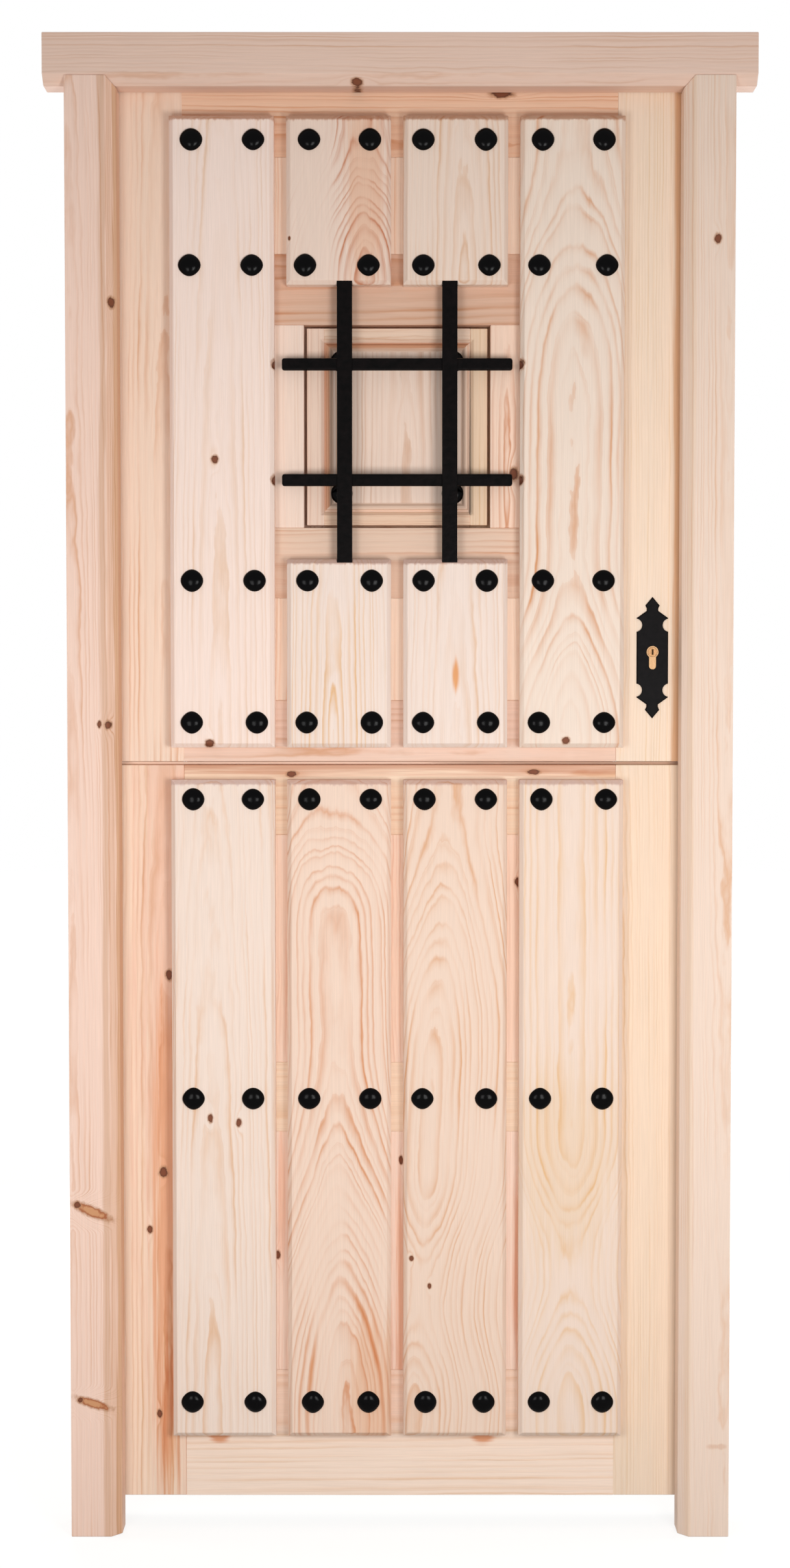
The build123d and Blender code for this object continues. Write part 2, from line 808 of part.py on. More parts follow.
far_y = (shutter_front - overrun, leaf_back + overrun)
far_z = (lip_z[0] - overrun, lip_z[1] + overrun)
field = block(field_x, far_y, field_z)
shutter_frame = shutter_whole - field
inner_edges = shutter_frame.faces().sort_by(Axis.Y)[0].inner_wires()[0].edges()
shutter_frame = chamfer(inner_edges, shutter_chamfer) - shutter_panel
left_part = block((far_x[0], field_x[0]), far_y, far_z)
right_part = block((field_x[1], far_x[1]), far_y, far_z)
nodes["shutter_hinge_stile"] = shutter_frame & left_part
nodes["shutter_free_stile"] = shutter_frame & right_part
nodes["shutter_top_rail"] = shutter_frame & block(field_x, far_y, (field_z[1] - shutter_chamfer, far_z[1]))
nodes["shutter_bottom_rail"] = shutter_frame & block(field_x, far_y, (far_z[0], field_z[0] + shutter_chamfer))
shutter_nail_places = [
    (x, z)
    for x in (window_x[0] + shutter_nail_side, window_x[1] - shutter_nail_side)
    for z in (window_z[0] + shutter_nail_end, window_z[1] - shutter_nail_end)
]
nodes["shutter_nails"] = group(
    [nail(x, z, panel_front, shutter_nail_length) for x, z in shutter_nail_places]
)
nodes["shutter_panel"] = cut(
    shutter_panel,
    [shank_hole(x, z, panel_front, shutter_nail_length) for x, z in shutter_nail_places],
)

# Shutter hinges: small plates on the inside faces, knuckles over the gap.
shutter_axis_x = lip_x[0] - shutter_lip_gap / 2
shutter_axis_y = leaf_back + shutter_hinge_radius + hinge_face_gap


def shutter_hinge(middle, side):
    low = middle - shutter_hinge_height / 2
    high = middle + shutter_hinge_height / 2
    own = (low, middle - hinge_knuckle_gap / 2) if side < 0 else (middle + hinge_knuckle_gap / 2, high)
    reach = sorted((shutter_axis_x + side * shutter_lip_gap, shutter_axis_x + side * shutter_hinge_reach))
    if side < 0:
        clear = (shutter_axis_x - shutter_hinge_reach, shutter_axis_x - shutter_hinge_radius - hinge_face_gap)
    else:
        clear = (shutter_axis_x + shutter_hinge_radius + hinge_face_gap, shutter_axis_x + shutter_hinge_reach)
    plate_y = (leaf_back, leaf_back + shutter_hinge_plate)
    half = block(clear, plate_y, (low, high)) + block(reach, plate_y, own)
    half += upright_rod(shutter_axis_x, shutter_axis_y, own, shutter_hinge_radius)
    if side < 0:
        pin_z = (low, high - hinge_pin_short / 2)
        half += upright_rod(shutter_axis_x, shutter_axis_y, pin_z, shutter_hinge_pin_radius)
    else:
        bore_z = (own[0] - overrun, high - hinge_pin_short / 4)
        bore_radius = shutter_hinge_pin_radius + hinge_running_gap
        half -= upright_rod(shutter_axis_x, shutter_axis_y, bore_z, bore_radius)
    return half


shutter_hinge_middles = (
    lip_z[0] + shutter_hinge_end_distance,
    lip_z[1] - shutter_hinge_end_distance,
)
nodes["shutter_fixed_hinges"] = group([shutter_hinge(z, -1) for z in shutter_hinge_middles])
nodes["shutter_moving_hinges"] = group([shutter_hinge(z, 1) for z in shutter_hinge_middles])

# Turn button with its pivot, on the inside of the lock-side post.
button_x = window_x[1] + button_edge_distance
button_z = (window_z[0] + window_z[1]) / 2
button_y = (leaf_back + button_lift, leaf_back + button_lift + button_thickness)
button = block(around(button_x, button_width), button_y, around(button_z, button_length))
button = chamfer(button.edges().filter_by(Axis.Y), button_corner)
button += deep_rod(button_x, (leaf_back - button_pivot_depth, button_y[1]), button_z, button_pivot_radius)
button += deep_rod(button_x, (button_y[0], button_y[1] + button_lift), button_z, button_boss_radius)
nodes["turn_button"] = button
pivot_hole = deep_rod(
    button_x,
    (leaf_back - button_pivot_depth - button_pivot_room, leaf_back + overrun),
    button_z,
    button_pivot_radius + button_pivot_fit,
)
nodes["window_left_post"] = left_post - window_rebate
nodes["window_right_post"] = cut(right_post, [window_rebate, pivot_hole])

# Barrel bolt: plate with two guides, round bolt with a knob, keeper on the jamb.
rod_y = leaf_back + slide_plate_thickness + slide_rod_clear + slide_rod_radius
guide_top = rod_y + slide_rod_radius + slide_guide_wall
slide_plate_x = (leaf_side - slide_plate_setback - slide_plate_length, leaf_side - slide_plate_setback)
slide_plate = block(
    slide_plate_x,
    (leaf_back, leaf_back + slide_plate_thickness),
    around(slide_height, slide_plate_height),
)
for guide_x in (
    (slide_plate_x[0], slide_plate_x[0] + slide_guide_width),
    (slide_plate_x[1] - slide_guide_width, slide_plate_x[1]),
):
    slide_plate += block(guide_x, (leaf_back, guide_top), around(slide_height, slide_guide_height))
rod_x = (leaf_side - slide_rest_setback - slide_rod_length, leaf_side - slide_rest_setback)
rod_path = (rod_x[0] - overrun, jamb_outer)
slide_plate -= level_rod(rod_path, rod_y, slide_height, slide_rod_radius + slide_running_gap)
nodes["slide_bolt_plate"] = slide_plate
slide_bolt = level_rod(rod_x, rod_y, slide_height, slide_rod_radius)
slide_bolt += deep_rod(
    rod_x[1] - slide_knob_setback,
    (rod_y, rod_y + slide_knob_length),
    slide_height,
    slide_knob_radius,
)
nodes["slide_bolt"] = slide_bolt
keeper_x = (jamb_wall + keeper_offset, jamb_wall + keeper_offset + keeper_plate_length)
keeper = block(
    keeper_x,
    (back_y, back_y + slide_plate_thickness),
    around(slide_height, slide_plate_height),
)
keeper += block(
    (keeper_x[0], keeper_x[0] + keeper_width),
    (back_y, guide_top),
    around(slide_height, slide_guide_height),
)
keeper -= level_rod(rod_path, rod_y, slide_height, slide_rod_radius + keeper_gap)
nodes["bolt_keeper"] = keeper

for name, shape in nodes.items():
    export_step(shape, f"parts/{name}.step")
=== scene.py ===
import math

import bmesh
import bpy
from mathutils import Matrix, Vector


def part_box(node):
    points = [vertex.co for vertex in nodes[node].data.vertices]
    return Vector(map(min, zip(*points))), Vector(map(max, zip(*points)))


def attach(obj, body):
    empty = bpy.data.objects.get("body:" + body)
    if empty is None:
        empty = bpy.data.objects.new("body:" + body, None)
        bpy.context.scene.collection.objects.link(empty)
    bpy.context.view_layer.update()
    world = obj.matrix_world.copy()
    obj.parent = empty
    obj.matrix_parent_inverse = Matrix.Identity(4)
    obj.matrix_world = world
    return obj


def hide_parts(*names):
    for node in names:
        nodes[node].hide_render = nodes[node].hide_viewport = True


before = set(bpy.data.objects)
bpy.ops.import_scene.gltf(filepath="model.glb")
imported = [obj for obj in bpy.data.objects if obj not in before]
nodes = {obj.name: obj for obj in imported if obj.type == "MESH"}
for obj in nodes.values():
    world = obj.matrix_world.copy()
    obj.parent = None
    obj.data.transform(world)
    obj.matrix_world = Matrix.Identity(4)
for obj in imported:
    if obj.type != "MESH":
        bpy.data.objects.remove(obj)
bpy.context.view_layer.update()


# Frame: two jambs and a head of planed raw pine, one moulded stock with a chamfer outside.
# The jambs are scribed and tenoned under the head, whose horns run past them into the wall.
def linear(code):
    shares = [int(code[start:start + 2], 16) / 255 for start in (0, 2, 4)]
    return [s / 12.92 if s <= 0.04045 else ((s + 0.055) / 1.055) ** 2.4 for s in shares] + [1.0]


def add(tree, kind, inputs, stops=(), **settings):
    node = tree.nodes.new(kind)
    for name, value in settings.items():
        setattr(node, name, value)
    if stops:
        points = node.color_ramp.elements
        for place, _ in stops[1:-1]:
            points.new(place)
        for point, (place, colour) in zip(points, stops):
            point.position = place
            point.color = colour
    for key, value in inputs.items():
        if isinstance(value, bpy.types.NodeSocket):
            tree.links.new(value, node.inputs[key])
        else:
            node.inputs[key].default_value = value
    return node


# Raw pine, planed: year rings round a pith off the board, cut by its face into arches and lines.
# Soft pale early wood darkens to a thin late line; knots push the rings aside. Sizes in mm.
# The fibres are drawn coarser than real ones, so that they show.
whole_width = 900
whole_length = 3000


def pine(node_name, pale, late, ring, pith, tilt=0, lean=0, wander=6, ripple=3, level=False,
         hills=(), knots_and_hole_shade=(), stains_and_shade=(), clear=()):
    low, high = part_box(node_name)
    middle = (low + high) * 500
    material = bpy.data.materials.new("raw_pine_" + node_name)
    material.use_nodes = True
    tree = material.node_tree
    shader = tree.nodes["Principled BSDF"]
    seed = sum(ord(letter) * (place + 1) for place, letter in enumerate(node_name)) * 0.37

    if level:
        turn = (0, -math.pi / 2, 0)
        shift = (middle.z, -middle.y, -middle.x)
    else:
        turn = (0, 0, 0)
        shift = tuple(-middle)
    coords = add(tree, "ShaderNodeTexCoord", {}).outputs["Object"]
    grain = add(tree, "ShaderNodeMapping", {
        "Vector": coords, "Location": shift, "Rotation": turn, "Scale": (1000, 1000, 1000)}).outputs[0]

    def local(x, z):
        return (middle.z - z, 0, x - middle.x) if level else (x - middle.x, 0, z - middle.z)

    uneven = {}
    for trait, sizes, detail in (
            ("drift", (150, 150, 900), 2), ("ragged", (24, 24, 80), 3), ("patches", (34, 34, 240), 1),
            ("fibres", (0.9, 0.9, 60), 3), ("streaks", (5, 5, 150), 2), ("crumbs", (5, 5, 7), 2)):
        place = add(tree, "ShaderNodeVectorMath", {
            0: grain, 1: [1 / size for size in sizes], 2: (seed, seed * 1.7, seed * 2.3)},
            operation="MULTIPLY_ADD").outputs[0]
        uneven[trait] = add(tree, "ShaderNodeTexNoise", {
            "Vector": place, "Scale": 1.0, "Detail": detail, "Roughness": 0.55}).outputs
    drift = uneven["drift"]["Color"]
    ragged = uneven["ragged"]["Fac"]
    fibres = uneven["fibres"]["Fac"]
    sway = add(tree, "ShaderNodeVectorMath", {
        0: drift, 1: (2 * wander, 2 * wander, 0), 2: (-wander, -wander, 0)},
        operation="MULTIPLY_ADD").outputs[0]
    swayed = add(tree, "ShaderNodeVectorMath", {0: grain, 1: sway}, operation="ADD").outputs[0]

    def reach(x, z, half_width, half_length, slant=0):
        near = add(tree, "ShaderNodeMapping", {
            "Vector": swayed, "Location": local(x, z), "Rotation": (0, math.radians(slant), 0),
            "Scale": (half_width, 4000, half_length)}, vector_type="TEXTURE").outputs[0]
        return add(tree, "ShaderNodeVectorMath", {0: near}, operation="LENGTH").outputs["Value"]

    def swell(base, distance, amount):
        hill = add(tree, "ShaderNodeMapRange", {
            "Value": distance, "From Min": 0, "From Max": 1, "To Min": amount, "To Max": 0},
            interpolation_type="SMOOTHERSTEP").outputs[0]
        return add(tree, "ShaderNodeMath", {0: base, 1: hill}, operation="ADD").outputs[0]

    depth = add(tree, "ShaderNodeMath", {
        0: ragged, 1: 2 * ripple, 2: -ripple}, operation="MULTIPLY_ADD").outputs[0]
    for x, z, half_length, sink, _ in hills:
        depth = swell(depth, reach(x, z, whole_width, half_length), sink)
    sunk = add(tree, "ShaderNodeCombineXYZ", {"Y": depth}).outputs[0]
    bowed = add(tree, "ShaderNodeVectorMath", {0: swayed, 1: sunk}, operation="ADD").outputs[0]
    log = add(tree, "ShaderNodeMapping", {
        "Vector": bowed, "Location": (-pith[0], pith[1], 0),
        "Rotation": (-math.atan(tilt / 1000), -math.atan(lean / 1000), 0)}).outputs[0]
    flat = add(tree, "ShaderNodeVectorMath", {0: log, 1: (1, 1, 0)}, operation="MULTIPLY").outputs[0]
    radius = add(tree, "ShaderNodeVectorMath", {0: flat}, operation="LENGTH").outputs["Value"]
    radius = add(tree, "ShaderNodeMath", {
        0: ragged, 1: ripple, 2: radius}, operation="MULTIPLY_ADD").outputs[0]
    for x, z, half_length, _, rise in hills:
        radius = swell(radius, reach(x, z, whole_width, half_length), rise)
    eyes = []
    # A few of these are not knots but dark spots of painted shade over drilled holes.
    for x, z, half_width, half_length, slant in knots_and_hole_shade:
        core, rim = ("D0966A", "A65C36") if slant else ("7A4329", "5E3522")
        eye = add(tree, "ShaderNodeMath", {
            0: uneven["crumbs"]["Fac"], 1: 0.8, 2: reach(x, z, half_width, half_length, slant)},
            operation="MULTIPLY_ADD").outputs[0]
        long_eye = reach(x, z, half_width * 2.4, half_length * 5)
        radius = swell(radius, long_eye, 1.5 * half_width)
        eyes.append((eye, core, rim))

    season = add(tree, "ShaderNodeMath", {0: radius, 1: 2.6 * ring}, operation="DIVIDE").outputs[0]
    growth = add(tree, "ShaderNodeTexNoise", {
        "W": season, "Scale": 1.0, "Detail": 1}, noise_dimensions="1D").outputs["Fac"]
    grown = add(tree, "ShaderNodeMath", {
        0: growth, 1: 2.4 * ring, 2: radius}, operation="MULTIPLY_ADD").outputs[0]
    years = add(tree, "ShaderNodeMath", {0: grown, 1: ring}, operation="DIVIDE").outputs[0]
    part = add(tree, "ShaderNodeMath", {0: years}, operation="FRACT").outputs[0]
    year = add(tree, "ShaderNodeMath", {0: years}, operation="FLOOR").outputs[0]
    luck = add(tree, "ShaderNodeTexWhiteNoise", {"W": year}, noise_dimensions="1D").outputs["Value"]
    line = add(tree, "ShaderNodeValToRGB", {"Fac": part}, stops=(
        (0.0, (0.5, 0.5, 0.5, 1)), (0.12, (0, 0, 0, 1)), (0.45, (0.04, 0.04, 0.04, 1)),
        (0.7, (0.45, 0.45, 0.45, 1)), (0.86, (1, 1, 1, 1)), (1.0, (0.5, 0.5, 0.5, 1)))).outputs[0]
    luck = add(tree, "ShaderNodeMath", {0: luck, 1: 1.6}, operation="POWER").outputs[0]
    gain = add(tree, "ShaderNodeMath", {0: luck, 1: 0.9, 2: 0.22}, operation="MULTIPLY_ADD").outputs[0]
    strength = add(tree, "ShaderNodeMath", {0: line, 1: gain}, operation="MULTIPLY").outputs[0]
    fade = add(tree, "ShaderNodeMapRange", {
        "Value": uneven["patches"]["Fac"], "From Min": 0.36, "From Max": 0.64,
        "To Min": 0.2, "To Max": 1.0}).outputs[0]
    strength = add(tree, "ShaderNodeMath", {0: strength, 1: fade}, operation="MULTIPLY").outputs[0]
    for x, z, half_width, half_length in clear:
        quiet = add(tree, "ShaderNodeMapRange", {
            "Value": reach(x, z, half_width, half_length), "From Min": 0.6, "From Max": 1.2,
            "To Min": 0.15, "To Max": 1.0}, interpolation_type="SMOOTHSTEP").outputs[0]
        strength = add(tree, "ShaderNodeMath", {0: strength, 1: quiet}, operation="MULTIPLY").outputs[0]

    colour = add(tree, "ShaderNodeMix", {
        0: strength, 6: linear(pale), 7: linear(late)}, data_type="RGBA").outputs[2]
    # Each of these darkens the colour in a frayed oval: some are the wood's own marks, some are painted
    # shade.
    for x, z, half_width, half_length, code in stains_and_shade:
        frayed = add(tree, "ShaderNodeMath", {
            0: uneven["streaks"]["Fac"], 1: 1.4, 2: reach(x, z, half_width, half_length)},
            operation="MULTIPLY_ADD").outputs[0]
        band = add(tree, "ShaderNodeMapRange", {
            "Value": frayed, "From Min": 1.2, "From Max": 2.0,
            "To Min": 1.0, "To Max": 0.0}, interpolation_type="SMOOTHSTEP").outputs[0]
        colour = add(tree, "ShaderNodeMix", {0: band, 6: colour, 7: linear(code)},
                     data_type="RGBA", blend_type="MULTIPLY").outputs[2]
    fibre_gain = add(tree, "ShaderNodeMapRange", {
        "Value": fibres, "From Min": 0.25, "From Max": 0.75, "To Min": 0.93, "To Max": 1.05}).outputs[0]
    colour = add(tree, "ShaderNodeVectorMath", {0: colour, 1: fibre_gain}, operation="MULTIPLY").outputs[0]
    for eye, core, rim in eyes:
        mask = add(tree, "ShaderNodeMapRange", {
            "Value": eye, "From Min": 1.15, "From Max": 1.9, "To Min": 1.0, "To Max": 0.0},
            interpolation_type="SMOOTHSTEP").outputs[0]
        heart = add(tree, "ShaderNodeMath", {0: eye, 1: 0.4}, operation="SUBTRACT").outputs[0]
        knot = add(tree, "ShaderNodeValToRGB", {"Fac": heart}, stops=(
            (0.0, linear(core)), (0.5, linear(core)), (0.8, linear(rim)),
            (1.0, linear("B98561")))).outputs[0]
        colour = add(tree, "ShaderNodeMix", {0: mask, 6: colour, 7: knot}, data_type="RGBA").outputs[2]
    tree.links.new(colour, shader.inputs["Base Color"])
    height = add(tree, "ShaderNodeMath", {0: fibres, 1: strength}, operation="ADD").outputs[0]
    bump = add(tree, "ShaderNodeBump", {"Height": height, "Strength": 0.25, "Distance": 0.0004})
    tree.links.new(bump.outputs[0], shader.inputs["Normal"])
    shader.inputs["Roughness"].default_value = 0.6
    shader.inputs["Specular IOR Level"].default_value = 0.3
    return material


def dress(node_name, material, rounding):
    piece = nodes[node_name]
    piece.data.materials.clear()
    piece.data.materials.append(material)
    weld = piece.modifiers.new("Weld", "WELD")
    weld.merge_threshold = 0.00001
    flat = piece.modifiers.new("Flat", "DECIMATE")
    flat.decimate_type = "DISSOLVE"
    flat.angle_limit = math.radians(1)
    edges = piece.modifiers.new("Edges", "BEVEL")
    edges.width = rounding
    edges.segments = 2
    edges.limit_method = "ANGLE"
    edges.angle_limit = math.radians(25)
    return piece


def finish_mesh(bm, name, material, body, smooth):
    bmesh.ops.recalc_face_normals(bm, faces=bm.faces)
    mesh = bpy.data.meshes.new(name)
    bm.to_mesh(mesh)
    bm.free()
    for face in mesh.polygons:
        face.use_smooth = smooth
    mesh.materials.append(material)
    piece = bpy.data.objects.new(name, mesh)
    bpy.context.scene.collection.objects.link(piece)
    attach(piece, body)
    return piece


wood_rounding = 0.0012
# The three stripes along the hinge jamb's inner chamfer are painted shade. They are darkest at the outer
# arris and at the lip by the leaf, and lighter between, as on a hollowed chamfer.
dress("hinge_jamb", pine(
    "hinge_jamb", "F9D7C5", "E4B090", ring=4.4, pith=(-30, 60), tilt=18,
    stains_and_shade=((-409, 1042, 5, whole_length, "E9DED1"), (-400, 1042, 5, whole_length, "F2EAE0"),
            (-392, 1042, 4, whole_length, "E4D2BA")),
    knots_and_hole_shade=((-398, 1719, 5, 8, 0), (-404, 1138, 5, 6, 0), (-416, 1139, 3, 5, 0),
           (-430, 460, 27, 7, 24), (-450, 469, 5, 5, 0), (-428, 189, 24, 6, 18), (-446, 194, 4, 4, 0))),
    wood_rounding)
# The long stripe at the lock jamb's inner chamfer is painted shade on its outer half, as on a hollowed
# chamfer.
dress("lock_jamb", pine(
    "lock_jamb", "F1D8C6", "E4B898", ring=4.4, pith=(28, 66), tilt=-14,
    stains_and_shade=((402, 1042, 5, whole_length, "FDFAF4"), (443, 128, 15, 4, "F2E6DE")),
    knots_and_hole_shade=((436, 1805, 5, 7, 0),)), wood_rounding)
dress("head", pine(
    "head", "EECEBC", "D8A888", ring=5.0, pith=(40, 70), tilt=10, level=True,
    knots_and_hole_shade=((-59, 2019, 5, 8, 0),)), wood_rounding)


# Leaf frames: stiles and rails of the two leaves, raw pine tenoned together, flush on both sides.
# The stiles stand the full height of each leaf; the rails lie behind the ends of the boards.
dress("upper_hinge_stile", pine(
    "upper_hinge_stile", "F6DBC6", "DFA982", ring=7.0, pith=(24, 32), tilt=30, ripple=5), wood_rounding)
# The band along the upper lock stile's edge by the jamb is painted shade, the shadow of the jamb's rebate.
dress("upper_lock_stile", pine(
    "upper_lock_stile", "F5DEC8", "E6C49C", ring=4.6, pith=(-60, 30), tilt=-12,
    stains_and_shade=((391, 1500, 10, whole_length, "F0D2B6"),)), wood_rounding)
dress("lower_hinge_stile", pine(
    "lower_hinge_stile", "F9DEC7", "E0B088", ring=7.0, pith=(22, 34), tilt=25, ripple=5,
    stains_and_shade=((-316, 800, 60, 820, "F8E9E6"), (-333, 430, 20, 330, "F6DCC6"), (-326, 150, 12, 130, "F3D8C2")),
    knots_and_hole_shade=((-326, 785, 5, 8, 0), (-336, 505, 6, 8, 0), (-355, 423, 4, 6, 0), (-342, 159, 4, 6, 0))),
    wood_rounding)
dress("lower_lock_stile", pine(
    "lower_lock_stile", "F3DAC2", "E6C29C", ring=4.4, pith=(-50, 36), tilt=16), wood_rounding)
dress("upper_top_rail", pine(
    "upper_top_rail", "F2CBAE", "D48E60", ring=7.0, pith=(30, 36), tilt=14, level=True,
    knots_and_hole_shade=((142, 2014, 6, 16, 0),)), wood_rounding)
dress("window_head_rail", pine(
    "window_head_rail", "E0B89F", "C88A62", ring=10.0, pith=(-24, 40), tilt=60, level=True), wood_rounding)
dress("window_sill_rail", pine(
    "window_sill_rail", "E9C9B2", "D4A080", ring=8.0, pith=(26, 44), tilt=-16, level=True), wood_rounding)
dress("upper_bottom_rail", pine(
    "upper_bottom_rail", "EFCFBC", "D8A684", ring=8.0, pith=(30, 30), tilt=12, level=True), wood_rounding)
dress("lower_top_rail", pine(
    "lower_top_rail", "F8DEC4", "E8BC96", ring=9.0, pith=(-34, 34), tilt=-12, level=True,
    stains_and_shade=((0, 1088, 22, whole_length, "DDC0B6"),),
    knots_and_hole_shade=((188, 1070, 4, 9, 0), (-152, 1067, 4, 8, 0))), wood_rounding)
dress("lower_middle_rail", pine(
    "lower_middle_rail", "FBE4CC", "F0CFAE", ring=9.0, pith=(20, 42), tilt=10, level=True), wood_rounding)
dress("lower_bottom_rail", pine(
    "lower_bottom_rail", "FCE3D0", "ECC4A2", ring=9.0, pith=(-40, 50), tilt=20, level=True,
    stains_and_shade=((117, 124, 9, 16, "E4B496"), (-256, 126, 8, 14, "E4B496"))), wood_rounding)
dress("window_left_post", pine(
    "window_left_post", "F7DDCC", "E2B696", ring=5.0, pith=(60, 40)), wood_rounding)
dress("window_right_post", pine(
    "window_right_post", "F8D8C2", "D49068", ring=5.0, pith=(-6, 24), tilt=60, ripple=5,
    knots_and_hole_shade=((159, 1488, 6, 9, 0),)), wood_rounding)
dress("upper_muntins", pine(
    "upper_muntins", "FCE4D0", "E4AE86", ring=4.4, pith=(420, 160), wander=14), wood_rounding)
dress("lower_muntins", pine(
    "lower_muntins", "FFE8D8", "E2A684", ring=5.6, pith=(-440, 150), wander=16, ripple=6,
    stains_and_shade=((0, 830, whole_width, 200, "FCF5EE"), (168, 365, 9, 150, "F1CCB8"),
            (-166, 470, 7, 120, "FAE6DA"), (-2, 330, 7, 190, "F5D8C6")),
    knots_and_hole_shade=((-172, 387, 4, 6, 0), (1, 522, 3, 6, 0), (167, 916, 5, 7, 0))), wood_rounding)


# Meeting strip: a thin pine bead glued along the top edge of the lower leaf, set back in the joint.
# It stops the draught under the upper leaf and shows as a shallow groove between the two.
strip_middle = (0, 0.0112, 1.0833)
strip_length = 0.797
strip_depth = 0.005
strip_height = 0.0040
strip_rounding = 0.0006
bm = bmesh.new()
strip = bmesh.ops.create_cube(bm, size=1)["verts"]
bmesh.ops.transform(bm, verts=strip, matrix=Matrix.Translation(strip_middle) @ Matrix.Diagonal(
    (strip_length, strip_depth, strip_height, 1)))
bmesh.ops.bevel(bm, geom=bm.edges[:], offset=strip_rounding, offset_type="OFFSET", segments=2, profile=0.5,
                affect="EDGES", material=-1)
meeting_strip = finish_mesh(bm, "meeting_strip", pine(
    "lower_top_rail", "FBDCC6", "E6B898", ring=6.0, pith=(40, 30), level=True,
    stains_and_shade=((430, 1083, whole_length, 340, "CFC4BC"),)), "lower_leaf", False)


# Boards: pale pine planks chamfered round their outer face and nailed over the leaf frames.
# Flat-sawn, so each shows its own arches of year rings between straight lines at its edges.
# The chamfer at its top is darker than the face, partly for its end grain and partly with painted shade,
# deeper on the higher boards.
board_rows = (
    # Its last two knots are dark spots of painted shade beside the bar ends, where the holes for the grille
    # are drilled in the board's edge.
    ("upper_left_board", "FDE5D8", "EFCBB0", 7.0, (-3, 34), 35, 0, (),
     ((-256, 1506, 5, 6, 0), (-264, 1112, 6, 6, 0), (-173, 1638, 5, 7, 0), (-173, 1478, 5, 7, 0)), ()),
    ("window_top_left_board", "F3D9C8", "C8784C", 7.0, (38, 21), 0, 0,
     ((-46, 1990, 260, 30, 50),), ((-153, 1810, 2, 3, 0),),
     ((-46, 1870, 30, 140, "F9E6D8"),)),
    ("window_top_right_board", "F2DAC9", "E2B694", 7.0, (11, 26), 80, 0, (), (), ()),
    ("window_bottom_left_board", "F5E0D3", "E8B886", 6.0, (-8, 21), 70, 0, (), (), ()),
    ("window_bottom_right_board", "F5E0D3", "E8C2A4", 7.0, (0, 40), 50, 0, (), (),
     ((77, 1206, 5, 24, "F4BE88"),)),
    # Its last two knots are dark spots of painted shade beside the bar ends, where the holes for the grille
    # are drilled in the board's edge.
    ("upper_right_board", "F4DFCE", "D8925C", 10.5, (2, 42), 0, 10,
     ((241, 1090, 300, -18, -56), (241, 1985, 430, 40, 40)),
     ((230, 1116, 6, 5, 0), (165, 1638, 5, 7, 0), (165, 1478, 5, 7, 0)), ()),
    ("lower_first_board", "F5DFD0", "E6B892", 7.0, (-16, 43), 45, 0, (),
     ((-266, 586, 4, 6, 0), (-225, 580, 4, 6, 0)), ()),
    ("lower_second_board", "F3D6C2", "D88E5C", 8.0, (-2, 43), 0, -24,
     ((-86, 1080, 250, 76, 0), (-70, 110, 640, -8, -130)), (),
     ((-36, 190, 40, 130, "F9E8DA"),)),
    ("lower_third_board", "F1D5C1", "DEA478", 7.5, (-34, 26), 0, 60,
     ((49, 1070, 460, 36, 40), (30, 340, 190, 8, 30)),
     ((14, 388, 3, 4, 0), (39, 349, 3, 4, 0)), ()),
    ("lower_fourth_board", "F2DAC9", "EABE90", 9.0, (2, 26), 0, 0,
     ((240, 370, 215, 18, 36),), (),
     ((232, 520, 80, 140, "FCF7EC"),)),
)
clear_wood = {"window_top_left_board": ((-134, 1880, 50, whole_length),)}
window_head = 1900
window_sill = 1200
chamfer_middle = 2.5
chamfer_reach = 5
for board_name, pale, late, ring, pith, tilt, lean, hills, knots_and_hole_shade, stains_and_shade in board_rows:
    board_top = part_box(board_name)[1].z * 1000
    # Painted shade on the top chamfer, deepest on the boards above the window and lightest on the lower
    # leaf.
    if board_top > window_head:
        chamfer_tone_and_shade = "DBC2B2"
    elif board_top > window_sill:
        chamfer_tone_and_shade = "D9C7C2"
    else:
        chamfer_tone_and_shade = "E8DEE0"
    chamfer_grain_and_shade_mark = (0, board_top - chamfer_middle, whole_width, chamfer_reach, chamfer_tone_and_shade)
    dress(board_name, pine(
        board_name, pale, late, ring, pith, tilt, lean, ripple=4.5, hills=hills, knots_and_hole_shade=knots_and_hole_shade,
        stains_and_shade=stains_and_shade + (chamfer_grain_and_shade_mark,), clear=clear_wood.get(board_name, ())), wood_rounding)


# Nails: forged iron, blackened, driven through the boards into the rails of the leaf frames.
# Each head is a low dome that the hammer left with four soft flats, no two quite alike.
# The oiled black scale on the iron gives almost no colour, only a small dull glint.
def metal(name, code, metallic, roughness, dent_mm, dent_depth, shine=0.5, dark=0.75):
    material = bpy.data.materials.new(name)
    material.use_nodes = True
    tree = material.node_tree
    shader = tree.nodes["Principled BSDF"]
    coords = add(tree, "ShaderNodeTexCoord", {}).outputs["Object"]
    dents = add(tree, "ShaderNodeTexNoise", {"Vector": coords, "Scale": 1000 / dent_mm, "Detail": 2})
    tone = add(tree, "ShaderNodeValToRGB", {"Fac": dents.outputs["Fac"]}, stops=(
        (0.3, [share * dark for share in linear(code)[:3]] + [1]), (0.7, linear(code)))).outputs[0]
    tree.links.new(tone, shader.inputs["Base Color"])
    bump = add(tree, "ShaderNodeBump", {
        "Height": dents.outputs["Fac"], "Strength": 0.6, "Distance": dent_depth})
    tree.links.new(bump.outputs[0], shader.inputs["Normal"])
    shader.inputs["Metallic"].default_value = metallic
    shader.inputs["Roughness"].default_value = roughness
    shader.inputs["Specular IOR Level"].default_value = shine
    return material


black_iron = metal("blackened_forged_iron", "0C0707", 0.0, 0.3, 9, 0.0008, shine=0.06, dark=0.1)
nail_iron = metal("blackened_nail_iron", "020102", 0.0, 0.18, 5, 0.0002, shine=0.06, dark=0.3)


